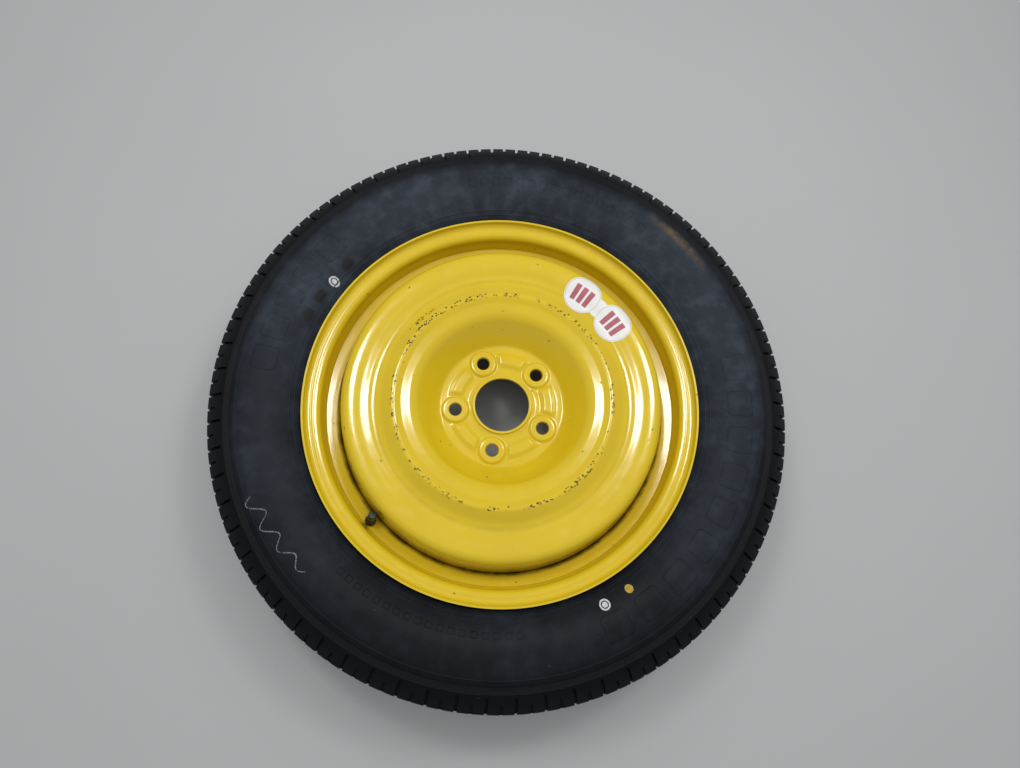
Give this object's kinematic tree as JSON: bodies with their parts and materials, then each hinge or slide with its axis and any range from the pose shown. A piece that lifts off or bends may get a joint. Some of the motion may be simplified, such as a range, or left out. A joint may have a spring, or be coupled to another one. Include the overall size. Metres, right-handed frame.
{
  "type": "spare wheel",
  "caption": "Temporary-use car spare wheel: yellow pressed-steel disc and rim with a narrow black tyre, snap-in valve with screwed cap, and a plain two-lobed label.",
  "frame": {"origin": "on the wheel axis in the rim's centre plane, which is the middle of the whole part", "axes": "+Z along the wheel axis towards the outer face, +X through one bolt hole, the valve at -X; the wheel lies flat on its inner sidewall"},
  "size_m": [0.696, 0.696, 0.16],
  "materials": {
    "tyre": "black tyre rubber, dusty, with a bluish grey sheen",
    "wheel_paint": "glossy yellow paint, chipped along the crown ridge",
    "label": "white printed film",
    "valve_rubber": "black moulded rubber, satin",
    "brass": "turned brass",
    "core_seals": "dark sealing rubber",
    "spring_steel": "spring wire",
    "cap_plastic": "black moulded plastic, fluted"
  },
  "bodies": {
    "wheel": {"tyre": "tyre", "wheel_rim": "wheel_paint", "wheel_disc": "wheel_paint", "weld_beads": "wheel_paint", "label": "label", "valve_rubber": "valve_rubber", "valve_barrel": "brass", "core_plug": "brass", "core_housing": "brass", "core_gasket": "core_seals", "core_spring": "spring_steel"},
    "seal": {"cap_seal": "core_seals"},
    "cap": {"valve_cap": "cap_plastic"},
    "pin": {"core_pin": "brass", "core_cup": "core_seals"}
  },
  "joints": [
    {"name": "cap_travel", "type": "slide", "parent": "wheel", "child": "seal", "axis": [0.309, 0, 0.9511], "range_m": [0, 0.00715]},
    {"name": "cap_turn", "type": "hinge", "parent": "seal", "child": "cap", "pos_m": [-0.20153, 0, 0.0416], "axis": [0.309, 0, 0.9511], "range_deg": [0, 3240]},
    {"name": "pin_press", "type": "slide", "parent": "wheel", "child": "pin", "axis": [-0.309, 0, -0.9511], "range_m": [0, 0.0012], "stiffness_N_per_m": 400, "deforming": ["core_spring"]}
  ],
  "couplings": [
    {"joint": "cap_turn", "follows": "cap_travel", "rad_per_m": 7913.3}
  ]
}
